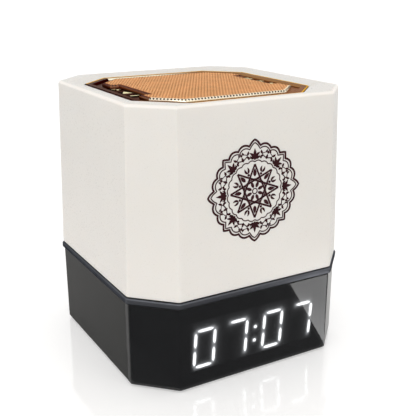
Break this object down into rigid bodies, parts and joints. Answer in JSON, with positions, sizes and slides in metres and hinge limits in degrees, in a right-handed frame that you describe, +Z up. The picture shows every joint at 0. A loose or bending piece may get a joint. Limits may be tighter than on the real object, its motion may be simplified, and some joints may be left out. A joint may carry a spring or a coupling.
{
  "type": "speaker lamp",
  "caption": "Octagonal table lamp: milky shade on a black base with a smoked clock window, gilt bezel, six keys and a perforated speaker grille on top.",
  "frame": {"origin": "on the table, under the middle of the lamp", "axes": "+Z up, the lamp's height; the clock window faces -Y; +X to the right of someone facing the clock"},
  "size_m": [0.1062, 0.1062, 0.1168],
  "materials": {
    "milk_shade": "milky translucent plastic, satin, cream white",
    "trim_grey": "satin dark grey with a cool cast",
    "base_black": "satin near-black moulded plastic",
    "smoked_window": "glossy smoked black plastic",
    "gilt": "polished gilt plating",
    "rose_gold_mesh": "satin rose-gold perforated sheet",
    "module_black": "matt black with white lit bars",
    "board_green": "green solder mask",
    "board_white": "white solder mask",
    "white_plastic": "white moulded plastic",
    "steel": "plated steel",
    "ferrite": "dark ferrite and plated yoke",
    "black_plastic": "black moulded plastic",
    "paper_cone": "matt black pressed paper",
    "rubber": "matt black rubber",
    "cell_wrap": "blue shrink wrap"
  },
  "bodies": {
    "lamp": {"lamp_shade": "milk_shade", "top_bezel": "gilt", "speaker_grille": "rose_gold_mesh", "key_board_left": "board_green", "key_board_right": "board_green", "speaker_housing": "white_plastic", "speaker_gasket": "rubber", "speaker_frame": "steel", "speaker_surround": "rubber", "speaker_cone": "paper_cone", "speaker_magnet": "ferrite", "speaker_screw_1": "steel", "speaker_screw_2": "steel", "speaker_screw_3": "steel", "speaker_screw_4": "steel", "housing_screw_1": "steel", "housing_screw_2": "steel", "housing_screw_3": "steel", "housing_screw_4": "steel", "trim_ring": "trim_grey", "base_housing": "base_black", "clock_window": "smoked_window", "clock_module": "module_black", "clock_board": "board_green", "clock_screw_1": "steel", "clock_screw_2": "steel", "light_board": "board_white", "light_screw_1": "steel", "light_screw_2": "steel", "bottom_cover": "base_black", "base_screw_1": "steel", "base_screw_2": "steel", "base_screw_3": "steel", "base_screw_4": "steel", "foot_1": "rubber", "foot_2": "rubber", "foot_3": "rubber", "foot_4": "rubber", "battery_cell": "cell_wrap", "main_board": "board_green", "board_screw_1": "steel", "board_screw_2": "steel", "charging_socket": "steel", "card_socket": "steel", "power_switch": "black_plastic", "speaker_lead": "rubber"},
    "key_left_front_body": {"key_left_front": "gilt"},
    "key_left_middle_body": {"key_left_middle": "gilt"},
    "key_left_back_body": {"key_left_back": "gilt"},
    "key_right_front_body": {"key_right_front": "gilt"},
    "key_right_middle_body": {"key_right_middle": "gilt"},
    "key_right_back_body": {"key_right_back": "gilt"},
    "power_knob_body": {"power_knob": "black_plastic"}
  },
  "joints": [
    {"name": "key_left_front_press", "type": "slide", "parent": "lamp", "child": "key_left_front_body", "axis": [0, 0, -1], "range_m": [0, 0.0005], "stiffness_N_per_m": 1500, "springref_m": -0.0003},
    {"name": "key_left_middle_press", "type": "slide", "parent": "lamp", "child": "key_left_middle_body", "axis": [0, 0, -1], "range_m": [0, 0.0005], "stiffness_N_per_m": 1500, "springref_m": -0.0003},
    {"name": "key_left_back_press", "type": "slide", "parent": "lamp", "child": "key_left_back_body", "axis": [0, 0, -1], "range_m": [0, 0.0005], "stiffness_N_per_m": 1500, "springref_m": -0.0003},
    {"name": "key_right_front_press", "type": "slide", "parent": "lamp", "child": "key_right_front_body", "axis": [0, 0, -1], "range_m": [0, 0.0005], "stiffness_N_per_m": 1500, "springref_m": -0.0003},
    {"name": "key_right_middle_press", "type": "slide", "parent": "lamp", "child": "key_right_middle_body", "axis": [0, 0, -1], "range_m": [0, 0.0005], "stiffness_N_per_m": 1500, "springref_m": -0.0003},
    {"name": "key_right_back_press", "type": "slide", "parent": "lamp", "child": "key_right_back_body", "axis": [0, 0, -1], "range_m": [0, 0.0005], "stiffness_N_per_m": 1500, "springref_m": -0.0003},
    {"name": "power_knob_slide", "type": "slide", "parent": "lamp", "child": "power_knob_body", "axis": [-1, 0, 0], "range_m": [0, 0.002]}
  ]
}
